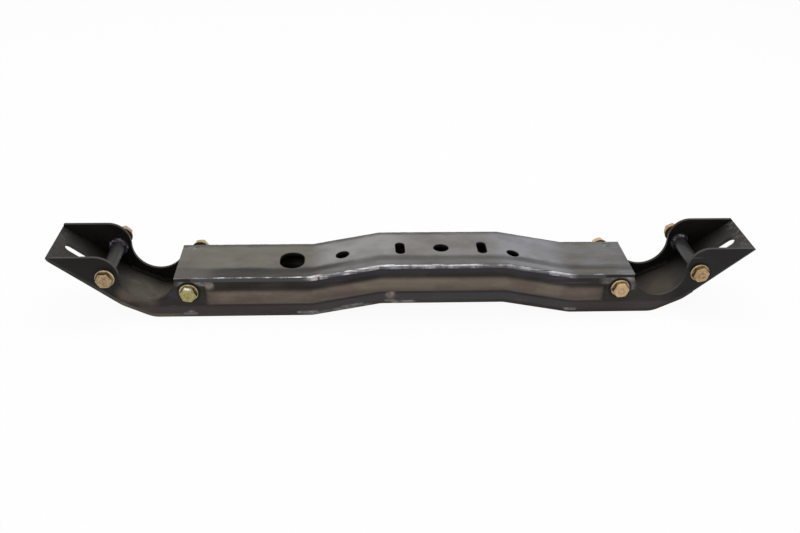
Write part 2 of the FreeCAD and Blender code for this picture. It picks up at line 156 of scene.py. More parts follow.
def buildMillScale():
    # Hot-rolled scale: broad blotches, streaks along the rolling direction, fine grain and a few rubs
    group, inside, outside = newGroup("millScale", [("Where", "NodeSocketVector")], [
        ("Blotch", "NodeSocketFloat"), ("Streak", "NodeSocketFloat"), ("Grain", "NodeSocketFloat"),
        ("Rub", "NodeSocketFloat"), ("Fleck", "NodeSocketFloat")])
    where = inside.outputs["Where"]
    blotch = noise(group, where, 16.0, 5.0, 0.6, (1.0, 1.6, 1.6))
    streak = noise(group, where, 60.0, 4.0, 0.6, (0.12, 1.0, 1.0))
    grain = noise(group, where, 900.0, 3.0, 0.6)
    scratch = noise(group, where, 230.0, 2.0, 0.5, (0.05, 1.0, 1.0))
    patch = noise(group, where, 26.0, 3.0, 0.5)
    rub = mathNode(group, "MULTIPLY", ramp(group, scratch, 0.56, 0.72), ramp(group, patch, 0.5, 0.68))
    group.links.new(ramp(group, blotch, 0.34, 0.66), outside.inputs["Blotch"])
    group.links.new(ramp(group, streak, 0.32, 0.68), outside.inputs["Streak"])
    group.links.new(grain, outside.inputs["Grain"])
    group.links.new(rub, outside.inputs["Rub"])
    group.links.new(ramp(group, noise(group, where, 170.0, 3.0, 0.65), 0.40, 0.62), outside.inputs["Fleck"])
    return group


def buildGroundMarks():
    # Short bright strokes of a grinder, crossed at two angles, kept inside the mask that comes in
    group, inside, outside = newGroup("groundMarks", [
        ("Where", "NodeSocketVector"), ("Mask", "NodeSocketFloat")], [
        ("Bright", "NodeSocketFloat"), ("Height", "NodeSocketFloat")])
    where = inside.outputs["Where"]
    strokes = noise(group, where, 420.0, 3.0, 0.6, (0.10, 0.5, 1.0))
    lumps = noise(group, where, 95.0, 3.0, 0.6, (0.35, 1.0, 1.0))
    torn = ramp(group, lumps, 0.36, 0.60)
    bright = mathNode(group, "MULTIPLY", ramp(group, strokes, 0.36, 0.66, 0.25, 1.0), torn)
    masked = mathNode(group, "MULTIPLY", bright, inside.outputs["Mask"], clamp=True)
    group.links.new(masked, outside.inputs["Bright"])
    group.links.new(mathNode(group, "MULTIPLY", strokes, inside.outputs["Mask"]), outside.inputs["Height"])
    return group


beamLines = buildBeamLines()
millScale = buildMillScale()
groundMarks = buildGroundMarks()
print("node groups built")


def newMaterial(name):
    material = bpy.data.materials.new(name)
    material.use_nodes = True
    tree = material.node_tree
    shader = tree.nodes["Principled BSDF"]
    where = addNode(tree, "ShaderNodeTexCoord").outputs["Object"]
    return material, tree, shader, where


def finishSurface(tree, shader, height, strength, distance, edgeRadius=0.0):
    bump = addNode(tree, "ShaderNodeBump")
    feed(tree, bump.inputs["Height"], height)
    bump.inputs["Strength"].default_value = strength
    bump.inputs["Distance"].default_value = distance
    if edgeRadius:
        edge = addNode(tree, "ShaderNodeBevel", samples=4)
        edge.inputs["Radius"].default_value = edgeRadius
        tree.links.new(edge.outputs[0], bump.inputs["Normal"])
    tree.links.new(bump.outputs[0], shader.inputs["Normal"])


# Masks that the plates share: 1 inside a stretch of a value, fading out over a soft border

def within(tree, value, low, high, soft):
    rise = ramp(tree, value, low - soft, low + soft)
    fall = ramp(tree, value, high - soft, high + soft, 1.0, 0.0)
    return mathNode(tree, "MULTIPLY", rise, fall)


def times(tree, *values):
    result = values[0]
    for value in values[1:]:
        result = mathNode(tree, "MULTIPLY", result, value)
    return result


def spot(tree, where, centre, full, radius):
    # 1 as far as full from a place, 0 from radius on
    node = addNode(tree, "ShaderNodeVectorMath", operation="DISTANCE")
    feed(tree, node.inputs[0], where)
    node.inputs[1].default_value = centre
    return ramp(tree, node.outputs["Value"], full, radius, 1.0, 0.0)


def solidCentres(nodeName):
    # Middle of the left and the right solid of a paired node
    mesh = nodes[nodeName].data
    points = np.empty(len(mesh.vertices) * 3)
    mesh.vertices.foreach_get("co", points)
    points = points.reshape(-1, 3)
    parts = [points[points[:, 0] < beam["middle"]], points[points[:, 0] > beam["middle"]]]
    return [((part.min(axis=0) + part.max(axis=0)) / 2, part.min(axis=0), part.max(axis=0)) for part in parts]


boltPlaces = [(centre.tolist()[0], centre.tolist()[2]) for pair in ("outer", "inner")
              for centre, low, high in solidCentres(pair + "_bolts")]

# Rolled steel of the plates, with ground and heat-stained places, and painted shade and highlights
topPlateLook = {
    "dark": (0.088, 0.080, 0.068, 1.0),
    "light": (0.142, 0.132, 0.117, 1.0),
    "olive": (0.112, 0.106, 0.076, 1.0),   # heat stains
    "blue": (0.130, 0.130, 0.150, 1.0),
    "hump": (0.245, 0.238, 0.232, 1.0),    # cleaner steel on the slopes
    "humpRight": (0.222, 0.222, 0.240, 1.0),
    "padShare": 0.45,                      # how much of that reaches the pad's middle
    "ground": (0.50, 0.49, 0.47, 1.0),
    "edge": (0.010, 0.008, 0.007, 1.0),    # darker strip along the welded edges
    # under: painted shade for the top plate's underside, its edges and the holes' walls
    "under": (0.012, 0.010, 0.008, 1.0),
    "metallic": 0.20,
    "specular": 0.30,
    "roughness": (0.40, 0.55),
    "frontBand": (0.0130, 0.0225),         # the strip starts here, and pales from cleanBand on
    "cleanBand": (0.0270, 0.0335),
    "rearBand": (0.0345, 0.0405),
    "cornerBand": 0.0016,
    "scar": (0.26, 0.25, 0.25, 1.0),       # spatter on the rear edge beside the inner nuts
    "scars": ((-0.334, 0.038), (0.236, 0.037)),
    "scarReach": 0.012,
    "holeShadeRing": ((-0.1315, 0.0), (0.0093, 0.0099)),  # painted shade ring round the left slope's hole, widening its dark opening
}

sidePlateLook = {
    "dark": (0.0120, 0.0090, 0.0065, 1.0),
    "light": (0.0300, 0.0250, 0.0205, 1.0),
    "arm": (0.0030, 0.0024, 0.0020, 1.0),  # darker outside the dips
    "armRight": (0.0090, 0.0076, 0.0092, 1.0),
    "crest": (0.170, 0.137, 0.106, 1.0),   # rubbed brown scale on the bead, lightened as painted highlight on its upper flank
    "crestRed": (0.122, 0.086, 0.072, 1.0),
    "flank": (0.085, 0.055, 0.047, 1.0),   # its lower flank, darker as painted shade where it turns from the light
    "low": (0.052, 0.040, 0.039, 1.0),     # paler run under the bead
    "lowHump": (0.058, 0.051, 0.058, 1.0),
    "blued": (0.031, 0.027, 0.038, 1.0),   # heat tint under the top seam of the hump
    # inner: painted shade for the plates' inner faces and round the bolt flanges
    "inner": (0.0040, 0.0030, 0.0024, 1.0),
    "ground": (0.34, 0.32, 0.31, 1.0),
    "smear": (0.36, 0.30, 0.26, 1.0),
    "cut": (0.012, 0.010, 0.009, 1.0),
    "frontCut": (0.046, 0.041, 0.037, 1.0),
    "brown": (0.110, 0.080, 0.062, 1.0),   # stain below the left dip
    "purple": (0.046, 0.034, 0.068, 1.0),
    "metallic": 0.15,
    "specular": 0.25,
    "roughness": (0.44, 0.58),
    "beadStart": 0.0004,     # how proud of the face the rubbed crest starts
    "beadFull": 0.0060,
    "boltShadow": (0.0138, 0.0172),        # painted shadow round the flanges fades between these radii
}

bottomPlateLook = {
    "dark": (0.015, 0.013, 0.010, 1.0),
    "light": (0.046, 0.042, 0.036, 1.0),
    "dip": (0.130, 0.109, 0.079, 1.0),     # brown scale on the dips' floors
    "dipRight": (0.047, 0.030, 0.017, 1.0),
    "edge": (0.46, 0.38, 0.30, 1.0),       # rubbed corner under the pad's left end
    "rear": (0.004, 0.003, 0.002, 1.0),    # painted shade towards the rear wall
    "ground": (0.34, 0.33, 0.34, 1.0),
    "metallic": 0.15,
    "specular": 0.30,
    "roughness": (0.44, 0.58),
}

# Ground bands on the front face: left, right, low, high and strength. Smears: place and reach. All in metres
groundBands = (
    (-0.344, -0.302, 0.0465, 0.0530, 0.55),
    (0.212, 0.2535, 0.0440, 0.0530, 0.50),
    (0.232, 0.2535, 0.0508, 0.0530, 0.80),
    (0.2505, 0.2545, 0.0340, 0.0520, 0.60),
)
groundPlaces = {
    "leftBoltSide": ((-0.304, -0.0445, -0.0290), 0.008),
    "padFootUpper": ((-0.0660, -0.0445, -0.0370), 0.0065),
    "padFoot": ((-0.0690, -0.0445, -0.0450), 0.0085),
    "leftFoot": ((-0.3300, -0.0445, -0.0710), 0.0070),
}
stainPlaces = {
    "leftKnee": ((-0.4100, -0.0445, -0.0420), 0.020, "brown"),
    "leftDipFoot": ((-0.3880, -0.0445, -0.0520), 0.022, "brown"),
    "leftDipEnd": ((-0.3510, -0.0445, -0.0430), 0.012, "purple"),
}


def mixedTone(tree, scale, streakShare):
    tone = mathNode(tree, "MULTIPLY_ADD", scale["Streak"], streakShare)
    tree.links.new(mathNode(tree, "MULTIPLY", scale["Blotch"], 1.0 - streakShare), tone.node.inputs[2])
    return tone


def topPlateMaterial(look):
    material, tree, shader, where = newMaterial("topPlateSteel")
    lines = useGroup(tree, beamLines, Where=where)
    scale = useGroup(tree, millScale, Where=where)
    wander = times(tree, scale["Blotch"], -0.003)
    inward = mathNode(tree, "SUBTRACT", wander, lines["Depth"])
    front = ramp(tree, inward, *look["frontBand"])
    paled = ramp(tree, inward, *look["cleanBand"])
    rear = ramp(tree, lines["Depth"], *look["rearBand"])
    corner = ramp(tree, lines["Side"], beam["halfWidth"] - look["cornerBand"], beam["halfWidth"] - 0.0004)
    marks = useGroup(tree, groundMarks, Where=where, Mask=corner)
    colour = mixColour(tree, mixedTone(tree, scale, 0.22), look["dark"], look["light"])
    stain = ramp(tree, noise(tree, where, 22.0, 2.0, 0.5, (0.7, 1.5, 1.0)), 0.42, 0.62)
    olive = times(tree, stain, ramp(tree, lines["Along"], -0.20, -0.12, 0.75, 0.0))
    colour = mixColour(tree, olive, colour, look["olive"])
    blue = times(tree, stain, ramp(tree, lines["Along"], 0.10, 0.16, 0.0, 0.6))
    colour = mixColour(tree, blue, colour, look["blue"])
    fromPad = mathNode(tree, "ABSOLUTE", lines["Along"])
    hump = ramp(tree, fromPad, beam["humpHalf"] + 0.01, beam["humpHalf"] - 0.03)
    onPad = ramp(tree, mathNode(tree, "ABSOLUTE", mathNode(tree, "SUBTRACT", lines["Along"], 0.01)), 0.045, 0.085,
                 look["padShare"], 1.0)
    cleaned = times(tree, hump, onPad, ramp(tree, scale["Blotch"], 0.0, 1.0, 0.7, 1.0))
    humpColour = mixColour(tree, ramp(tree, lines["Along"], 0.02, 0.09), look["hump"], look["humpRight"])
    colour = mixColour(tree, cleaned, colour, humpColour)
    toLeft = ramp(tree, lines["Along"], -0.16, -0.085, 0.96, 0.68)     # the strip is darkest left of the hump
    near = times(tree, paled, ramp(tree, lines["Along"], -0.19, -0.16, 0.05, 0.45),
                 ramp(tree, scale["Fleck"], 0.0, 1.0, 0.8, 1.0))
    nearRight = times(tree, paled, ramp(tree, lines["Along"], 0.07, 0.12, 0.0, 0.45))
    kept = mathNode(tree, "SUBTRACT", mathNode(tree, "SUBTRACT", 1.0, near), nearRight)
    kept = times(tree, kept, ramp(tree, lines["Along"], -0.318, -0.290, 0.45, 1.0))
    strip = times(tree, front, toLeft, kept, ramp(tree, scale["Streak"], 0.0, 1.0, 1.0, 0.82))
    colour = mixColour(tree, strip, colour, look["edge"])
    rearStrip = times(tree, rear, ramp(tree, lines["Along"], -0.05, 0.20, 0.65, 0.15),
                      ramp(tree, scale["Blotch"], 0.0, 1.0, 1.0, 0.5))
    colour = mixColour(tree, rearStrip, colour, look["edge"])
    colour = mixColour(tree, times(tree, scale["Rub"], 0.10), colour, look["ground"])
    colour = mixColour(tree, times(tree, marks["Bright"], 0.6), colour, look["ground"])
    for x, y in look["scars"]:
        scar = spot(tree, where, (x, y, underside + beam["height"]), 0.002, look["scarReach"])
        flecks = mixColour(tree, scale["Fleck"], look["edge"], look["scar"])
        colour = mixColour(tree, times(tree, scar, 0.6), colour, flecks)
    # Painted shade: a dark ring round the left slope's hole
    (x, y), (full, reach) = look["holeShadeRing"]
    holeShade = spot(tree, where, (x, y, underside + beam["height"] + humpRise(x)), full, reach)
    colour = mixColour(tree, holeShade, colour, look["under"])
    # Painted shade: faces below the top surface, meaning the underside, the edges and the holes' walls, take the dark
    # colour
    top = ramp(tree, lines["Height"], beam["height"] - 0.0014, beam["height"] - 0.0007)
    colour = mixColour(tree, top, look["under"], colour)
    feed(tree, shader.inputs["Base Color"], colour)
    shader.inputs["Metallic"].default_value = look["metallic"]
    shader.inputs["Specular IOR Level"].default_value = look["specular"]
    low, high = look["roughness"]
    feed(tree, shader.inputs["Roughness"], ramp(tree, scale["Blotch"], 0.0, 1.0, high, low))
    height = mathNode(tree, "ADD", scale["Grain"], marks["Height"])
    finishSurface(tree, shader, height, 0.2, 0.0003, 0.0008)
    return material


def sidePlateMaterial(look):
    material, tree, shader, where = newMaterial("sidePlateSteel")
    lines = useGroup(tree, beamLines, Where=where)
    scale = useGroup(tree, millScale, Where=where)
    colour = mixColour(tree, mixedTone(tree, scale, 0.5), look["dark"], look["light"])
    onHump = ramp(tree, mathNode(tree, "ABSOLUTE", lines["Along"]), 0.200, 0.150)
    foot = within(tree, lines["Height"], 0.004, 0.0155, 0.002)
    footColour = mixColour(tree, onHump, look["low"], look["lowHump"])
    colour = mixColour(tree, times(tree, foot, 0.75), colour, footColour)
    tinted = times(tree, onHump, ramp(tree, lines["Height"], 0.042, 0.047), 0.75)
    colour = mixColour(tree, tinted, colour, look["blued"])
    crest = ramp(tree, lines["Side"], beam["halfWidth"] + look["beadStart"], beam["halfWidth"] + look["beadFull"])
    # Painted light: the bead's upper flank, which faces the lamps, is paler, and its lower flank darker
    facing = ramp(tree, lines["Height"], 0.0165, 0.0340)             # the bead is paler on its upper flank
    fromMiddle = mathNode(tree, "ABSOLUTE", mathNode(tree, "SUBTRACT", lines["Along"], beam["middle"]))
    endFade = ramp(tree, fromMiddle, 0.240, 0.262, 1.0, 0.65)
    # Painted highlight on the upper flank, over the bead's rubbed brown scale
    rubbed = times(tree, crest, facing, endFade, ramp(tree, scale["Streak"], 0.0, 1.0, 0.78, 1.0))
    lowFlank = times(tree, crest, mathNode(tree, "SUBTRACT", 1.0, facing), endFade, 0.7)
    colour = mixColour(tree, lowFlank, colour, look["flank"])
    reddish = ramp(tree, noise(tree, where, 34.0, 3.0, 0.6, (0.6, 1.0, 1.0)), 0.44, 0.62, 0.0, 0.8)
    colour = mixColour(tree, rubbed, colour, mixColour(tree, reddish, look["crest"], look["crestRed"]))
    armColour = mixColour(tree, ramp(tree, lines["Along"], 0.30, 0.35), look["arm"], look["armRight"])
    colour = mixColour(tree, ramp(tree, fromMiddle, 0.345, 0.375, 0.0, 0.88), colour, armColour)
    for left, right, low, high, strength in groundBands:
        band = times(tree, within(tree, lines["Along"], left, right, 0.006),
                     within(tree, lines["Height"], low, high, 0.0015), ramp(tree, scale["Fleck"], 0.0, 1.0, 0.45, 1.0))
        colour = mixColour(tree, times(tree, band, strength), colour, look["ground"])
    for centre, radius in groundPlaces.values():
        patch = times(tree, spot(tree, where, centre, 0.3 * radius, radius), ramp(tree, scale["Fleck"], 0.0, 1.0, 0.5, 1.0))
        colour = mixColour(tree, times(tree, patch, 0.65), colour, look["smear"])
    for centre, radius, tint in stainPlaces.values():
        patch = times(tree, spot(tree, where, centre, 0.2 * radius, radius), ramp(tree, scale["Blotch"], 0.1, 0.9, 0.3, 1.0))
        colour = mixColour(tree, times(tree, patch, 0.8), colour, look[tint])
    # Painted shadow round each bolt's flange
    for bolt in boltPlaces:
        near = spot(tree, where, (bolt[0], -beam["halfWidth"], bolt[1]), *look["boltShadow"])
        colour = mixColour(tree, near, colour, look["inner"])
    colour = mixColour(tree, times(tree, scale["Rub"], 0.12), colour, look["ground"])
    # Cut edges get their own colour, and the inner faces take the painted shade colour
    outside = ramp(tree, lines["Side"], beam["halfWidth"] - 0.0009, beam["halfWidth"] - 0.0002)
    inside = ramp(tree, lines["Side"], beam["halfWidth"] - beam["plate"] + 0.0002,
                  beam["halfWidth"] - beam["plate"] + 0.0009)
    cut = mixColour(tree, ramp(tree, lines["Depth"], -0.01, 0.01), look["frontCut"], look["cut"])
    cutOrFace = mixColour(tree, outside, cut, colour)
    colour = mixColour(tree, inside, look["inner"], cutOrFace)
    feed(tree, shader.inputs["Base Color"], colour)
    shader.inputs["Metallic"].default_value = look["metallic"]
    shader.inputs["Specular IOR Level"].default_value = look["specular"]
    least, most = look["roughness"]
    feed(tree, shader.inputs["Roughness"], ramp(tree, scale["Blotch"], 0.0, 1.0, most, least))
    finishSurface(tree, shader, scale["Grain"], 0.2, 0.0003, 0.0008)
    return material


def bottomPlateMaterial(look):
    material, tree, shader, where = newMaterial("bottomPlateSteel")
    lines = useGroup(tree, beamLines, Where=where)
    scale = useGroup(tree, millScale, Where=where)
    colour = mixColour(tree, mixedTone(tree, scale, 0.45), look["dark"], look["light"])
    colour = mixColour(tree, times(tree, scale["Rub"], 0.3), colour, look["ground"])
    fromMiddle = mathNode(tree, "ABSOLUTE", mathNode(tree, "SUBTRACT", lines["Along"], beam["middle"]))
    inDip = times(tree, ramp(tree, fromMiddle, 0.395, 0.365), ramp(tree, scale["Blotch"], 0.0, 1.0, 0.5, 0.9))
    dipColour = mixColour(tree, ramp(tree, lines["Along"], -0.1, 0.1), look["dip"], look["dipRight"])
    colour = mixColour(tree, inDip, colour, dipColour)
    # Painted shade: darker towards the rear wall
    wallShade = ramp(tree, lines["Depth"], -0.010, 0.040)
    colour = mixColour(tree, times(tree, wallShade, 0.85), colour, look["rear"])
    # Painted shade over the arms' sloped floor, back from its front edge
    knee = times(tree, within(tree, fromMiddle, 0.374, 0.420, 0.012), ramp(tree, lines["Depth"], -0.046, -0.030), 0.93)
    colour = mixColour(tree, knee, colour, look["rear"])
    # Painted glints: pale specks on the tips' edges
    tip = times(tree, ramp(tree, fromMiddle, 0.440, 0.456), ramp(tree, scale["Fleck"], 0.5, 1.0),
                ramp(tree, lines["Along"], -0.2, 0.2, 0.06, 0.16))
    colour = mixColour(tree, tip, colour, look["ground"])
    edge = ramp(tree, lines["Side"], beam["halfWidth"] - 0.0012, beam["halfWidth"] - 0.0002)
    marks = useGroup(tree, groundMarks, Where=where, Mask=edge)
    plain = times(tree, edge, ramp(tree, lines["Along"], -0.37, -0.32), 0.7)
    colour = mixColour(tree, plain, colour, look["dark"])
    lit = times(tree, marks["Bright"], within(tree, lines["Along"], -0.19, -0.04, 0.01))
    colour = mixColour(tree, times(tree, lit, 0.6), colour, look["ground"])
    rubbed = times(tree, marks["Bright"], within(tree, lines["Along"], -0.085, -0.040, 0.006), 0.95)
    colour = mixColour(tree, rubbed, colour, look["edge"])
    feed(tree, shader.inputs["Base Color"], colour)
    shader.inputs["Metallic"].default_value = look["metallic"]
    shader.inputs["Specular IOR Level"].default_value = look["specular"]
    low, high = look["roughness"]
    feed(tree, shader.inputs["Roughness"], ramp(tree, scale["Blotch"], 0.0, 1.0, high, low))
    finishSurface(tree, shader, scale["Grain"], 0.2, 0.0003, 0.0008)
    return material


# Weld metal: "seam" is ground nearly flush, "bead" is left as welded
seamWeldLook = {
    "dull": (0.040, 0.037, 0.038, 1.0),
    "tan": (0.60, 0.56, 0.50, 1.0),
    # bright: painted highlight on the ground corner; the weld lumps take the tan
    "bright": (0.92, 0.91, 0.95, 1.0),
    "metallic": 0.55,
    "roughness": (0.26, 0.45),
}

ringWeldLook = {
    "dark": (0.012, 0.010, 0.014, 1.0),
    # light: painted highlight on the bead's crown
    "light": (0.30, 0.29, 0.36, 1.0),
    "metallic": 0.6,
    "specular": 0.4,
    "roughness": (0.28, 0.45),
}

dipWeldLook = {
    # Near black, as painted shade in the dips' corners; the light colour is a faint painted highlight
    "dark": (0.0035, 0.0028, 0.0025, 1.0),
    "light": (0.016, 0.014, 0.013, 1.0),
    "metallic": 0.2,
    "specular": 0.12,
    "roughness": (0.45, 0.6),
}

sleeveLook = {
    "dark": (0.0095, 0.0086, 0.0082, 1.0),
    "light": (0.029, 0.0265, 0.0255, 1.0),
    "metallic": 0.25,
    "roughness": (0.36, 0.5),
}

zincLook = {
    "tan": (0.25, 0.140, 0.050, 1.0),
    "green": (0.24, 0.21, 0.030, 1.0),
    "pink": (0.52, 0.30, 0.155, 1.0),
    "gold": (0.32, 0.165, 0.055, 1.0),
    "pale": (0.72, 0.63, 0.43, 1.0),       # rim of the flange
    "litPale": (1.0, 0.97, 0.84, 1.0),       # painted highlight on the topmost side, left half
    "litGold": (0.92, 0.66, 0.26, 1.0),  # painted highlight on the topmost side, right half
    "shadeBrown": (0.065, 0.029, 0.003, 1.0),   # brown painted shade and dark reflection on the hexagon's sides and under it
    "metallic": 0.50,
    "specular": 0.25,
    "roughness": (0.24, 0.40),
}


def seamWeldMaterial(look):
    # The bright corner is a painted highlight on the ground, rounded corner; the mesh carries it as a point attribute,
    # broken here into the grinder's long fine strokes
    material, tree, shader, where = newMaterial("groundWeldMetal")
    highlight = addNode(tree, "ShaderNodeAttribute", attribute_name="highlight").outputs["Fac"]
    lump = addNode(tree, "ShaderNodeAttribute", attribute_name="lump").outputs["Fac"]
    strokes = noise(tree, where, 950.0, 2.0, 0.6, (0.045, 0.6, 1.0))
    crumbs = noise(tree, where, 480.0, 3.0, 0.65)
    stroke = ramp(tree, strokes, 0.40, 0.60, 0.18, 1.0)
    crumb = ramp(tree, crumbs, 0.38, 0.60, 0.30, 1.0)
    broken = mathNode(tree, "ADD", times(tree, stroke, mathNode(tree, "SUBTRACT", 1.0, lump)), times(tree, crumb, lump))
    tone = mathNode(tree, "MULTIPLY", mathNode(tree, "MULTIPLY", highlight, broken), 1.25, clamp=True)
    bright = mixColour(tree, lump, look["bright"], look["tan"])
    colour = mixColour(tree, tone, look["dull"], bright)
    feed(tree, shader.inputs["Base Color"], colour)
    feed(tree, shader.inputs["Metallic"], ramp(tree, highlight, 0.0, 1.0, 0.15, look["metallic"]))
    low, high = look["roughness"]
    feed(tree, shader.inputs["Roughness"], ramp(tree, tone, 0.0, 1.0, high, low))
    finishSurface(tree, shader, mathNode(tree, "ADD", strokes, crumbs), 0.35, 0.0004)
    return material


def beadWeldMaterial(name, look):
    material, tree, shader, where = newMaterial(name)
    lumps = noise(tree, where, 260.0, 3.0, 0.6)
    # Painted highlight: the mesh's attribute marks the bead's crown
    crown = addNode(tree, "ShaderNodeAttribute", attribute_name="highlight").outputs["Fac"]
    patch = noise(tree, where, 75.0, 2.0, 0.5)
    tone = times(tree, ramp(tree, lumps, 0.40, 0.68), crown, ramp(tree, patch, 0.42, 0.60, 0.15, 1.0))
    feed(tree, shader.inputs["Base Color"], mixColour(tree, tone, look["dark"], look["light"]))
    shader.inputs["Metallic"].default_value = look["metallic"]
    shader.inputs["Specular IOR Level"].default_value = look["specular"]
    low, high = look["roughness"]
    feed(tree, shader.inputs["Roughness"], ramp(tree, tone, 0.0, 1.0, high, low))
    finishSurface(tree, shader, lumps, 0.3, 0.0004)
    return material


def sleeveMaterial(look):
    material, tree, shader, where = newMaterial("sleeveSteel")
    scale = useGroup(tree, millScale, Where=where)
    drawn = noise(tree, where, 190.0, 3.0, 0.6, (1.0, 0.08, 1.0))
    tone = ramp(tree, drawn, 0.34, 0.66)
    feed(tree, shader.inputs["Base Color"], mixColour(tree, tone, look["dark"], look["light"]))
    shader.inputs["Metallic"].default_value = look["metallic"]
    low, high = look["roughness"]
    feed(tree, shader.inputs["Roughness"], ramp(tree, scale["Blotch"], 0.0, 1.0, high, low))
    finishSurface(tree, shader, mathNode(tree, "ADD", drawn, scale["Grain"]), 0.25, 0.0003)
    return material


def zincMaterial(look):
    # Tan, green, pink and gold from left to right; "rim" is 1 on the flange's edge, and the painted shade attribute 1
    # under the hexagon and on its sides turned from the light
    material, tree, shader, where = newMaterial("yellowZinc")
    split = addNode(tree, "ShaderNodeSeparateXYZ")
    tree.links.new(where, split.inputs[0])
    mottle = ramp(tree, noise(tree, where, 330.0, 3.0, 0.65), 0.38, 0.62)
    stain = noise(tree, where, 620.0, 3.0, 0.65)
    colour = mixColour(tree, ramp(tree, split.outputs[0], -0.39, -0.38), look["tan"], look["green"])
    colour = mixColour(tree, ramp(tree, split.outputs[0], -0.10, 0.00), colour, look["pink"])
    colour = mixColour(tree, ramp(tree, split.outputs[0], 0.28, 0.29), colour, look["gold"])
    colour = mixColour(tree, times(tree, mottle, 0.36), colour, look["pale"])
    rim = addNode(tree, "ShaderNodeAttribute", attribute_name="rim").outputs["Fac"]
    worn = times(tree, ramp(tree, stain, 0.35, 0.6, 0.5, 0.95), ramp(tree, noise(tree, where, 120.0, 2.0), 0.40, 0.58, 0.5, 1.0))
    colour = mixColour(tree, times(tree, rim, worn), colour, look["pale"])
    shade = addNode(tree, "ShaderNodeAttribute", attribute_name="paintedShade").outputs["Fac"]
    colour = mixColour(tree, times(tree, shade, ramp(tree, stain, 0.30, 0.60, 0.7, 1.0)), colour, look["shadeBrown"])
    lit = addNode(tree, "ShaderNodeAttribute", attribute_name="lit").outputs["Fac"]
    highlight = mixColour(tree, ramp(tree, split.outputs[0], -0.10, 0.00), look["litPale"], look["litGold"])
    colour = mixColour(tree, lit, colour, highlight)
    feed(tree, shader.inputs["Base Color"], colour)
    shader.inputs["Metallic"].default_value = look["metallic"]
    shader.inputs["Specular IOR Level"].default_value = look["specular"]
    low, high = look["roughness"]
    feed(tree, shader.inputs["Roughness"], ramp(tree, stain, 0.35, 0.65, low, high))
    finishSurface(tree, shader, mathNode(tree, "ADD", stain, mottle), 0.35, 0.0003, 0.0003)
    return material


materials = {
    "top": topPlateMaterial(topPlateLook),
    "side": sidePlateMaterial(sidePlateLook),
    "bottom": bottomPlateMaterial(bottomPlateLook),
    "seamWeld": seamWeldMaterial(seamWeldLook),
    "ringWeld": beadWeldMaterial("ringWeldMetal", ringWeldLook),
    "dipWeld": beadWeldMaterial("dipWeldMetal", dipWeldLook),
    "sleeve": sleeveMaterial(sleeveLook),
    "zinc": zincMaterial(zincLook),
}


def dress(nodeName, material):
    for slot in nodes[nodeName].material_slots:
        slot.material = material


dress("top_plate", materials["top"])
dress("bottom_plate", materials["bottom"])
for nodeName in ("front_side_plate", "rear_side_plate"):
    dress(nodeName, materials["side"])
for nodeName in ("outer_sleeves", "inner_sleeves"):
    dress(nodeName, materials["sleeve"])
print("plates and sleeves dressed")


# Mesh helpers: a surface is a grid of points, rows by columns by xyz, in metres

def waves(rows, columns, cells, seed):
    # Smooth noise from -1 to 1: a dozen plane waves of random direction and phase, cells per unit of the grid
    chance = np.random.default_rng(seed)
    total = np.zeros(np.broadcast(rows, columns).shape)
    for level in range(12):
        across, along = chance.normal(0.0, 1.0, 2)
        total += np.sin(2 * math.pi * cells * (across * rows + along * columns) + chance.uniform(0, 2 * math.pi))
    return total / 5.0


def gridFaces(rows, columns, first):
    # Columns close on themselves
    across = np.arange(columns)
    down = np.arange(rows - 1)[:, None] * columns
    after = (across + 1) % columns
    quads = np.stack([down + across, down + after, down + columns + after, down + columns + across], axis=-1)
    return quads.reshape(-1, 4) + first


def buildPiece(name, grids, material, values):
    # One object from several grids; values gives named point attributes, one array per grid
    points, faces, count = [], [], 0
    for grid in grids:
        rows, columns = grid.shape[:2]
        faces.append(gridFaces(rows, columns, count))
        points.append(grid.reshape(-1, 3))
        count += rows * columns
    mesh = bpy.data.meshes.new(name)
    mesh.from_pydata(np.concatenate(points).tolist(), [], np.concatenate(faces).tolist())
    for label, arrays in values.items():
        attribute = mesh.attributes.new(label, "FLOAT", "POINT")
        attribute.data.foreach_set("value", np.concatenate([np.ravel(a) for a in arrays]).astype(np.float32))
    mesh.materials.append(material)
    piece = bpy.data.objects.new(name, mesh)
    bpy.context.scene.collection.objects.link(piece)
    return piece


def finishPiece(piece, nodeName, sharpAngle):
    # Doubled points go, faces turn outward, and edges sharper than the angle stay crisp
    sheet = bmesh.new()
    sheet.from_mesh(piece.data)
    bmesh.ops.remove_doubles(sheet, verts=sheet.verts, dist=0.000002)
    bmesh.ops.recalc_face_normals(sheet, faces=sheet.faces)
    for face in sheet.faces:
        face.smooth = True
    sheet.to_mesh(piece.data)
    sheet.free()
    piece.data.set_sharp_from_angle(angle=math.radians(sharpAngle))
    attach(piece, "root")
    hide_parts(nodeName)


# Flange bolts and nuts
fastener = {
    "flats": 0.019,
    "faceRadius": 0.0078,    # flat circle inside the chamfer
    "flange": 0.0123,
    "rim": 0.0020,
    "rise": 0.0024,
    "head": 0.0098,
    "nut": 0.013,
    "shank": 0.0060,
    "bore": 0.0061,
    "pitch": 0.00195,
    "threadDepth": 0.0006,
    "segments": 96,
    "tilts": {"outer": (4.0, 14.0), "inner": (-8.0, 6.0)},   # each hexagon's turn in degrees, left and right
    "leans": {"outer": (-15.0, -50.0), "inner": (30.0, -25.0)},   # where the painted shade lies, from straight up
    "glints": {"outer": (0.0, 0.55), "inner": (1.0, 0.9)},   # painted highlight on the topmost side
}


def hexRadius(turn, tilt):
    # Distance from the axis to the flats, one flat on top before the tilt
    wedge = np.mod(turn - math.radians(90.0 + tilt) + math.pi / 6, math.pi / 3) - math.pi / 6
    return fastener["flats"] / 2 / np.cos(wedge)


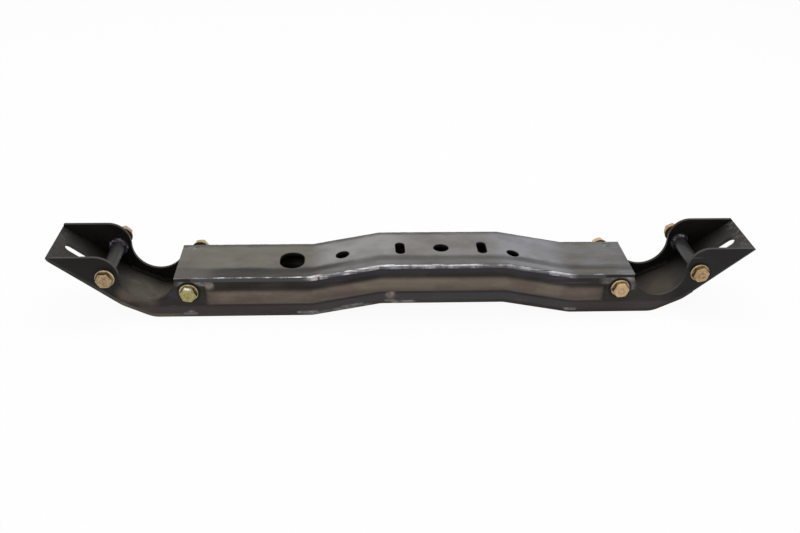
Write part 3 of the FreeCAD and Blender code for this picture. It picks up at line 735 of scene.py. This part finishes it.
def flangedRows(height, turn, tilt, lean, glint, pale=0.0):
    # Rows (height above the seat, radius, rim, painted shade, lit) from the hexagon's face down to the flange's seat
    f = fastener
    hexagon = hexRadius(turn, tilt)
    one = np.ones_like(turn)
    chamfer = height - (hexagon - f["faceRadius"]) * 0.62
    coneTop = f["rim"] + f["rise"] * (f["flange"] - hexagon) / (f["flange"] - f["flats"] / 2)
    facing = np.sin(turn + math.radians(lean))
    shaded = np.clip(facing * 1.8 + 0.1, 0.0, 1.0)
    # Painted highlight on the topmost side of the hexagon
    bright = glint * np.exp(-((np.degrees(turn) - 92) / 30) ** 4)
    none = 0 * one
    rubbed = 0.45 + 0.55 * np.abs(np.cos(turn))
    return [
        (height * one, f["faceRadius"] * one, 0.10 * one, 0.10 * one, none),
        (chamfer, hexagon - 0.0001, 0.30 * one, 0.35 * shaded, 0.6 * bright),
        (chamfer - 0.0005, hexagon, pale * one, 0.85 * shaded, bright),
        (coneTop + 0.0012, hexagon, pale * one, 1.0 * shaded, 0.7 * bright),
        (coneTop + 0.0003, hexagon + 0.00015, none, 0.5 + 0.5 * shaded, none),
        (coneTop - 0.0001, hexagon + 0.0006, none, 0.35 + 0.6 * shaded, none),
        ((coneTop + f["rim"]) / 2, (hexagon + f["flange"]) / 2, 0.3 * one, 0.8 * shaded, none),
        ((f["rim"] + 0.0004) * one, (f["flange"] - 0.0007) * one, rubbed, 0.25 * shaded, none),
        (f["rim"] * one - 0.0002, f["flange"] * one, rubbed, none, none),
        (0.0006 * one, f["flange"] * one, 0.4 * one, 0.5 * one, none),
        (none, (f["flange"] - 0.0004) * one, none, one, none),
    ]


def turned(rows, turn, x, z, start, direction):
    # Grid and attributes of rows turned round an axis along Y, heights measured from start
    heights, radii, *shades = [np.stack(column) for column in zip(*rows)]
    grid = np.stack([x + radii * np.cos(turn), start + direction * heights, z + radii * np.sin(turn)], axis=-1)
    return grid, shades


def threadRows(turn, low, high):
    # Shank from the seat to its end: plain, then a helix whose depth is a triangle wave of the turn and the height
    f = fastener
    one = np.ones_like(turn)
    none = 0 * one
    rows = [(-h * one, f["shank"] * one, 0.2 * one, none, none) for h in (0.0, low * 0.98)]
    for h in np.linspace(low, high, int((high - low) / f["pitch"] * 6)):
        wave = np.abs(2 * np.mod(h / f["pitch"] + turn / (2 * math.pi), 1.0) - 1)
        fade = min(1.0, (h - low) / f["pitch"])
        chamfer = np.clip((high - h) / 0.0012, 0.0, 1.0)
        radius = f["shank"] - f["threadDepth"] * fade * (1 - wave)
        radius = np.minimum(radius, f["shank"] - 0.0012 * (1 - chamfer))
        # Thread crests are paler, as painted highlight, and roots darker, as painted shade
        rows.append((-h * one, radius, wave * 0.5, 0.8 * (1 - wave) * fade, none))
    rows.append((-high * one, none, 0.3 * one, none, none))
    return rows


def fastenerPiece(name, nodeName, parts):
    grids, shades = zip(*parts)
    values = {label: [shade[index] for shade in shades] for index, label in enumerate(("rim", "paintedShade", "lit"))}
    finishPiece(buildPiece(name, grids, materials["zinc"], values), nodeName, 32)


def buildBolts(pair):
    turn = np.linspace(0, 2 * math.pi, fastener["segments"], endpoint=False)
    one = np.ones_like(turn)
    none = 0 * one
    parts = []
    rear = 2 * beam["halfWidth"] + 0.001
    turns = zip(*(fastener[key][pair] for key in ("tilts", "leans", "glints")))
    for (centre, low, high), (tilt, lean, glint) in zip(solidCentres(pair + "_bolts"), turns):
        face = fastener["head"]
        dish = [((face - 0.0003) * one, none, 0.1 * one, none, none),
                ((face - 0.0003) * one, 0.0050 * one, 0.1 * one, 0.30 * one, none),
                ((face - 0.00005) * one, 0.0057 * one, 0.4 * one, none, none)]
        rows = dish + flangedRows(face, turn, tilt, lean, glint)
        rows += threadRows(turn, rear, high[1] + beam["halfWidth"])
        parts.append(turned(rows, turn, centre[0], centre[2], -beam["halfWidth"], -1))
    fastenerPiece(pair + "BoltsLook", pair + "_bolts", parts)


def buildNuts(pair):
    turn = np.linspace(0, 2 * math.pi, fastener["segments"], endpoint=False)
    one = np.ones_like(turn)
    none = 0 * one
    bore, height = fastener["bore"], fastener["nut"]
    parts = []
    for (centre, low, high), tilt in zip(solidCentres(pair + "_nuts"), fastener["tilts"][pair]):
        inside = ((height - 0.0006) * one, bore * one, none, one, none)
        rows = [inside, (height * one, (bore + 0.0007) * one, 0.3 * one, 0.2 * one, none)]
        rows += flangedRows(height, turn, tilt + 14, 180.0, 0.0, 0.15)
        rows += [(none, (bore + 0.0007) * one, none, one, none), (0.0006 * one, bore * one, none, one, none), inside]
        parts.append(turned(rows, turn, centre[0], centre[2], low[1], 1))
    fastenerPiece(pair + "NutsLook", pair + "_nuts", parts)


for pair in ("outer", "inner"):
    buildBolts(pair)
    buildNuts(pair)
print("bolts and nuts built")


# Weld beads round the sleeves' rear ends
ringWeld = {
    "sleeve": 0.0086,
    "leg": 0.0048,
    "bulge": 0.0011,
    "ripple": 0.00045,
    "ripples": 17,
    "segments": 220,
    "profile": 9,
}


def buildRingWelds(pair, seed):
    # Radius and depth run from the plate's foot to the sleeve's toe, bulged outward, stepped by ripples and lumps
    w = ringWeld
    turn = np.linspace(0, 2 * math.pi, w["segments"], endpoint=False)[None, :]
    share = np.linspace(0, 1, w["profile"])[:, None]
    grids, highlights = [], []
    for index, (centre, low, high) in enumerate(solidCentres(pair + "_sleeve_welds")):
        lump = waves(share * 0.3, np.sin(turn) * 0.8 + np.cos(turn) * 0.5, 1.2, seed + index)
        beat = np.abs(np.sin(turn * w["ripples"] / 2 + 2.2 * share + lump))
        out = w["bulge"] * np.sin(math.pi * share) * (1 + 0.35 * lump) + w["ripple"] * beat * np.sin(math.pi * share)
        radius = w["sleeve"] - 0.0001 + w["leg"] * (1 - share) * (1 + 0.05 * lump) + 0.7 * out
        depth = high[1] - w["leg"] * share * (1 + 0.08 * lump) - 0.7 * out
        radius = np.pad(radius, ((1, 1), (0, 0)), constant_values=w["sleeve"] - 0.0001)
        depth = np.pad(depth, ((1, 1), (0, 0)), constant_values=high[1])
        grids.append(np.stack([centre[0] + radius * np.cos(turn), depth, centre[2] + radius * np.sin(turn)], axis=-1))
        # Painted highlight along the bead's crown, stepped by the ripples
        highlights.append(np.pad(np.clip(np.sin(math.pi * share) ** 0.7 * (0.45 + 0.6 * beat), 0, 1), ((1, 1), (0, 0))))
    piece = buildPiece(pair + "SleeveWeldsLook", grids, materials["ringWeld"], {"highlight": highlights})
    finishPiece(piece, pair + "_sleeve_welds", 60)


for seed, pair in enumerate(("outer", "inner")):
    buildRingWelds(pair, 11 + 5 * seed)


# Fillets in the dips. The floor line is the bottom plate's upper side: flat, then two bends of each arm
arms = {
    "bends": (0.333, 0.3715),           # from the middle
    "angles": {-1: (26.0, 38.2), 1: (26.0, 39.4)},
    "radius": 0.034,
}

dipWeld = {"leg": 0.0046, "bulge": 0.0006, "half": 0.0415, "ripple": 0.00035, "pitch": 0.0021, "rows": 420,
           "profile": 8}


def floorLine(distance, end):
    # Height of the floor above z = 0 at a distance from the middle: line, arc, line, arc, line
    offset = beam["plate"]
    radius = arms["radius"] - offset
    height = np.full_like(distance, underside + offset)
    corner = np.array([arms["bends"][0], 0.0])
    before = 0.0
    for index, degrees in enumerate(arms["angles"][end]):
        after = math.radians(degrees)
        if index == 1:
            corner = corner + (arms["bends"][1] - corner[0]) * np.array([1.0, math.tan(before)])
        tangent = arms["radius"] * math.tan((after - before) / 2)
        centreX = corner[0] - tangent * math.cos(before) - arms["radius"] * math.sin(before)
        centreZ = corner[1] - tangent * math.sin(before) + arms["radius"] * math.cos(before) + underside
        start = centreX + radius * math.sin(before)
        stop = centreX + radius * math.sin(after)
        arc = centreZ - np.sqrt(np.maximum(radius ** 2 - (distance - centreX) ** 2, 0.0))
        line = centreZ - radius * math.cos(after) + (distance - stop) * math.tan(after)
        height = np.where(distance > start, np.where(distance < stop, arc, line), height)
        before = after
    return height


def buildDipWeld(sideName, end, faceName, side, seed):
    # From the wall's toe to the floor's toe, bulged, with ripples along the run; it thins out at both ends
    w = dipWeld
    along = np.linspace(-1, 1, w["rows"])[:, None]
    share = np.linspace(0, 1, w["profile"])[None, :]
    distance = beam["dipReach"] + w["half"] * along
    ends = np.clip((1 - np.abs(along)) * 12, 0.0, 1.0) ** 0.5
    lump = waves(along * 8, share * 0.4, 0.6, seed)
    beat = np.abs(np.sin(math.pi * distance / w["pitch"] + 1.8 * share + lump))
    leg = w["leg"] * ends * (1 + 0.10 * lump)
    out = (w["bulge"] + w["ripple"] * beat) * ends * np.sin(math.pi * share)
    wall = beam["halfWidth"] - beam["plate"]
    depth = side * (wall + 0.0002 - leg * share - out * 0.7)
    height = floorLine(distance, end) - 0.0002 + leg * (1 - share) + out * 0.7
    x = (beam["middle"] + end * distance) * np.ones_like(share)
    grid = np.stack([x, depth, height], axis=-1)
    corner = (x[:, :1], np.full_like(x[:, :1], side * (wall + 0.0004)), floorLine(distance, end) - 0.0004)
    back = np.stack(corner, axis=-1)
    grid = np.concatenate([grid, back], axis=1)
    grid[0], grid[-1] = grid[0, -1], grid[-1, -1]
    # Painted highlight: a band near the wall's toe and the ripples of the crown
    highlight = np.clip(0.12 + 0.9 * np.exp(-((share - 0.08) / 0.10) ** 2) + 0.25 * beat * np.sin(math.pi * share), 0, 1)
    name = sideName + "_dip_" + faceName + "_weld"
    highlight = np.pad(highlight, ((0, 0), (0, 1)))
    piece = buildPiece(sideName + faceName.capitalize() + "DipWeldLook", [grid], materials["dipWeld"],
                       {"highlight": [highlight]})
    finishPiece(piece, name, 60)


for seed, (sideName, end) in enumerate((("left", -1), ("right", 1))):
    for faceName, side in (("front", -1), ("rear", 1)):
        buildDipWeld(sideName, end, faceName, side, 31 + 7 * seed + side)
print("sleeve and dip welds built")


# Ground seam along the beam's top corner, and the stitches at its foot
seamWeld = {
    "below": 0.0030,         # from the seam down the face
    "over": 0.0022,          # past the corner on to the top
    "proud": 0.00035,
    "rowsPerMetre": 1400,
    "blob": {"x": -0.167, "reach": 0.009, "proud": 0.0007},
    "notchX": -0.1625,
}

stitchWeld = {
    "height": 0.0050,
    "proud": 0.0007,
    "rowsPerMetre": 1600,
    "profile": 9,
    "spans": ((-0.342, -0.321), (-0.193, -0.164), (-0.135, -0.103), (-0.078, -0.061), (0.163, 0.183)),
}


def buildSeamWeld(nodeName, side, seed):
    # A skin from the seam up the edge and over the corner, whose height and width wander with slow and fast noise
    w = seamWeld
    low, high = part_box(nodeName)
    left, right = low.x, high.x
    x = np.linspace(left, right, int((right - left) * w["rowsPerMetre"]))[:, None]
    share = np.linspace(0, 1, 13)[None, :]
    slow = waves(x * 30, share * 0.1, 0.5, seed)
    mid = waves(x * 75, share * 0.5, 0.5, seed + 3)
    fast = waves(x * 210, share * 1.5, 0.5, seed + 1)
    fine = waves(x * 420, share * 2.0, 0.5, seed + 2)
    ends = np.clip(np.minimum(x - left, right - x) / 0.010, 0, 1)
    blob = np.exp(-((x - w["blob"]["x"]) / w["blob"]["reach"]) ** 2) if side < 0 else 0 * x
    notch = np.exp(-((x - w["notchX"]) / 0.0012) ** 2) if side < 0 else 0 * x
    edge = beam["height"]
    face = np.array([seamHeight - w["below"], seamHeight - 0.001, seamHeight + 0.001, edge - 0.0022, edge - 0.0012,
                     edge - 0.0004, edge + 0.0000, edge + 0.0002, edge + 0.00025, edge + 0.0002, edge + 0.00015,
                     edge + 0.0001, edge - 0.0003])[None, :]
    inward = np.array([-0.0003, 0.2, 0.5, 0.9, 1.0, 0.9, 0.55, 0.2, -0.0004, -0.0009, -0.0014, -0.0019, -0.0023])
    proud = w["proud"] * (1 + 0.5 * slow + 0.25 * mid + 0.2 * fast) + w["blob"]["proud"] * blob - 0.0006 * notch
    proud = np.maximum(proud, 0.00008) * (0.25 + 0.75 * ends)
    out = np.where(inward[None, :] > 0, inward[None, :] * proud, inward[None, :] * (1 + 0.25 * fast + 0.9 * blob))
    depth = side * (beam["halfWidth"] + out)
    height = underside + face + humpRise(x) + (0.00012 * fine + 0.0004 * blob) * np.sin(math.pi * share)
    grid = np.stack([x * np.ones_like(share), depth, height], axis=-1)
    grid[0], grid[-1] = grid[0, 0], grid[-1, 0]
    # Painted highlight of the ground weld: a line along the rounded corner, a second line lower down on the hump, and
    # the weld blob, stronger or weaker along the run
    hump = np.clip((beam["humpHalf"] + 0.01 - np.abs(x)) / 0.02, 0, 1)
    centre = 0.54 - 0.14 * hump + 0.05 * mid
    line = np.exp(-((share - centre) / (0.11 + 0.08 * hump + 0.03 * mid)) ** 2)
    lower = 0.7 * np.exp(-((share - 0.14) / 0.06) ** 2) * np.clip(mid + 0.3 * fast, 0, 1) * hump
    glintStrength = 0.42 + 0.36 * hump + 0.35 * slow + 0.35 * mid + (0.45 - 0.25 * hump) * fast
    glintStrength = glintStrength + 0.30 * np.clip((np.abs(x - beam["middle"]) - 0.225) / 0.03, 0, 1)
    glintStrength = np.clip(glintStrength, 0.12 + 0.20 * hump, 1.0)
    highlight = np.clip(line * glintStrength + lower + blob * 0.75 - notch * (share < 0.5), 0, 1) * ends
    lumps = (0.9 * blob + 0.5 * np.exp(-((np.abs(x) - 0.089) / 0.008) ** 2)) * np.ones_like(share)
    piece = buildPiece(nodeName.split("_")[1] + "SeamLook", [grid], materials["seamWeld"], {"highlight": [highlight], "lump": [lumps]})
    finishPiece(piece, nodeName, 60)


def buildStitches(nodeName, side, seed):
    # Bars with rounded ends along the bottom seam, lumpy on the crown
    w = stitchWeld
    share = np.linspace(0, 1, w["profile"])[None, :]
    grids, highlights = [], []
    for index, (left, right) in enumerate(w["spans"]):
        x = np.linspace(left, right, int((right - left) * w["rowsPerMetre"]))[:, None]
        ends = np.sqrt(np.clip(np.minimum(x - left, right - x) / 0.004, 0, 1))
        lump = waves(x * 90, share * 0.8, 0.5, seed + index)
        ripple = np.abs(np.sin(math.pi * x / 0.0024 + 2.0 * np.sin(math.pi * share)))
        out = w["proud"] * np.sin(math.pi * share) * (1 + 0.35 * lump + 0.3 * ripple) * ends - 0.0001
        middle = underside + beam["plate"] + humpRise(x) + 0.0003 * waves(x * 60, 0 * x, 0.5, seed + index)
        height = middle + w["height"] * ends * (share - 0.5)
        depth = side * (beam["halfWidth"] + out)
        grid = np.stack([x * np.ones_like(share), depth, height], axis=-1)
        back = np.stack([x, np.full_like(x, side * (beam["halfWidth"] - 0.001)), middle], axis=-1)
        grid = np.concatenate([grid, back], axis=1)
        grid[0], grid[-1] = grid[0, -1], grid[-1, -1]
        grids.append(grid)
        # Painted highlight along each stitch's crown
        highlights.append(np.pad(np.sin(math.pi * share) * (0.16 + 0.5 * ripple * np.clip(lump, 0, 1)) * ends, ((0, 0), (0, 1))))
    piece = buildPiece(nodeName.split("_")[1] + "StitchesLook", grids, materials["seamWeld"],
                       {"highlight": highlights, "lump": [0 * highlight + 0.8 for highlight in highlights]})
    finishPiece(piece, nodeName, 60)


for seed, (faceName, side) in enumerate((("front", -1), ("rear", 1))):
    buildSeamWeld("top_" + faceName + "_weld", side, 71 + seed)
    buildStitches("bottom_" + faceName + "_weld", side, 91 + 10 * seed)
print("seam welds and stitches built")


# Camera at the photograph's place and angle
cameraLook = {
    "place": (-0.12147, -1.04804, 0.58330),
    "right": (0.99842688, -0.05246689, 0.01977367),
    "up": (0.00935732, 0.50363868, 0.86386372),
    "back": (-0.05528302, -0.86231972, 0.50333734),
    "lens": 40.455,
}


def placeCamera(look):
    data = bpy.data.cameras.new("photoCamera")
    data.sensor_fit = "HORIZONTAL"
    data.sensor_width = 36.0
    data.lens = look["lens"]
    data.clip_start = 0.01
    camera = bpy.data.objects.new("photoCamera", data)
    bpy.context.scene.collection.objects.link(camera)
    turn = Matrix((look["right"], look["up"], look["back"])).transposed().to_4x4()
    camera.matrix_world = Matrix.Translation(Vector(look["place"])) @ turn
    bpy.context.scene.camera = camera


# Pale floor that keeps a soft shadow, and studio light
stageLook = {
    "floorHalf": 6.0,
    "floorColour": (0.90, 0.90, 0.90, 1.0),
    "whiteShare": 0.94,      # how much of the floor's look to the camera is plain white
    "worldColour": (0.84, 0.84, 0.84, 1.0),
    "worldLevel": 0.70,
}

lampLook = [
    {"name": "overhead", "place": (0.1, 0.5, 1.7), "target": (0.0, 0.0, 0.0), "size": (2.2, 1.2), "power": 16.0},
    {"name": "frontFill", "place": (-0.9, -1.6, 1.5), "target": (0.0, 0.0, 0.0), "size": (1.0, 1.0), "power": 6.0},
]


def buildFloor(look):
    half = look["floorHalf"]
    mesh = bpy.data.meshes.new("floor")
    z = underside
    mesh.from_pydata([(-half, -half, z), (half, -half, z), (half, half, z), (-half, half, z)], [], [(0, 1, 2, 3)])
    floor = bpy.data.objects.new("floor", mesh)
    bpy.context.scene.collection.objects.link(floor)
    material = bpy.data.materials.new("paleFloor")
    material.use_nodes = True
    tree = material.node_tree
    shader = tree.nodes["Principled BSDF"]
    shader.inputs["Base Color"].default_value = look["floorColour"]
    shader.inputs["Roughness"].default_value = 0.9
    shader.inputs["Specular IOR Level"].default_value = 0.0
    white = addNode(tree, "ShaderNodeEmission")
    white.inputs["Color"].default_value = (1.0, 1.0, 1.0, 1.0)
    path = addNode(tree, "ShaderNodeLightPath")
    seen = mathNode(tree, "MAXIMUM", path.outputs["Is Camera Ray"], path.outputs["Is Glossy Ray"])
    seen = mathNode(tree, "MAXIMUM", seen, path.outputs["Is Transmission Ray"])
    share = mathNode(tree, "MULTIPLY", seen, look["whiteShare"])
    mix = addNode(tree, "ShaderNodeMixShader")
    tree.links.new(share, mix.inputs[0])
    tree.links.new(shader.outputs[0], mix.inputs[1])
    tree.links.new(white.outputs[0], mix.inputs[2])
    tree.links.new(mix.outputs[0], tree.nodes["Material Output"].inputs["Surface"])
    mesh.materials.append(material)


def buildWorld(look):
    world = bpy.data.worlds.new("studio")
    bpy.context.scene.world = world
    world.use_nodes = True
    tree = world.node_tree
    background = tree.nodes["Background"]
    background.inputs["Color"].default_value = look["worldColour"]
    background.inputs["Strength"].default_value = look["worldLevel"]
    white = addNode(tree, "ShaderNodeBackground")
    white.inputs["Color"].default_value = (1.0, 1.0, 1.0, 1.0)
    white.inputs["Strength"].default_value = 1.0
    path = addNode(tree, "ShaderNodeLightPath")
    seen = mathNode(tree, "MAXIMUM", path.outputs["Is Camera Ray"], path.outputs["Is Glossy Ray"])
    seen = mathNode(tree, "MAXIMUM", seen, path.outputs["Is Transmission Ray"])
    mix = addNode(tree, "ShaderNodeMixShader")
    tree.links.new(seen, mix.inputs[0])
    tree.links.new(background.outputs[0], mix.inputs[1])
    tree.links.new(white.outputs[0], mix.inputs[2])
    tree.links.new(mix.outputs[0], tree.nodes["World Output"].inputs["Surface"])


def addLamp(look):
    data = bpy.data.lights.new(look["name"], "AREA")
    data.shape = "RECTANGLE"
    data.size, data.size_y = look["size"]
    data.energy = look["power"]
    lamp = bpy.data.objects.new(look["name"], data)
    bpy.context.scene.collection.objects.link(lamp)
    lamp.location = look["place"]
    aim = Vector(look["target"]) - Vector(look["place"])
    lamp.rotation_euler = aim.to_track_quat("-Z", "Y").to_euler()


placeCamera(cameraLook)
buildFloor(stageLook)
buildWorld(stageLook)
for lamp in lampLook:
    addLamp(lamp)
bpy.context.scene.view_settings.view_transform = "Standard"
print("camera, floor and lights placed")
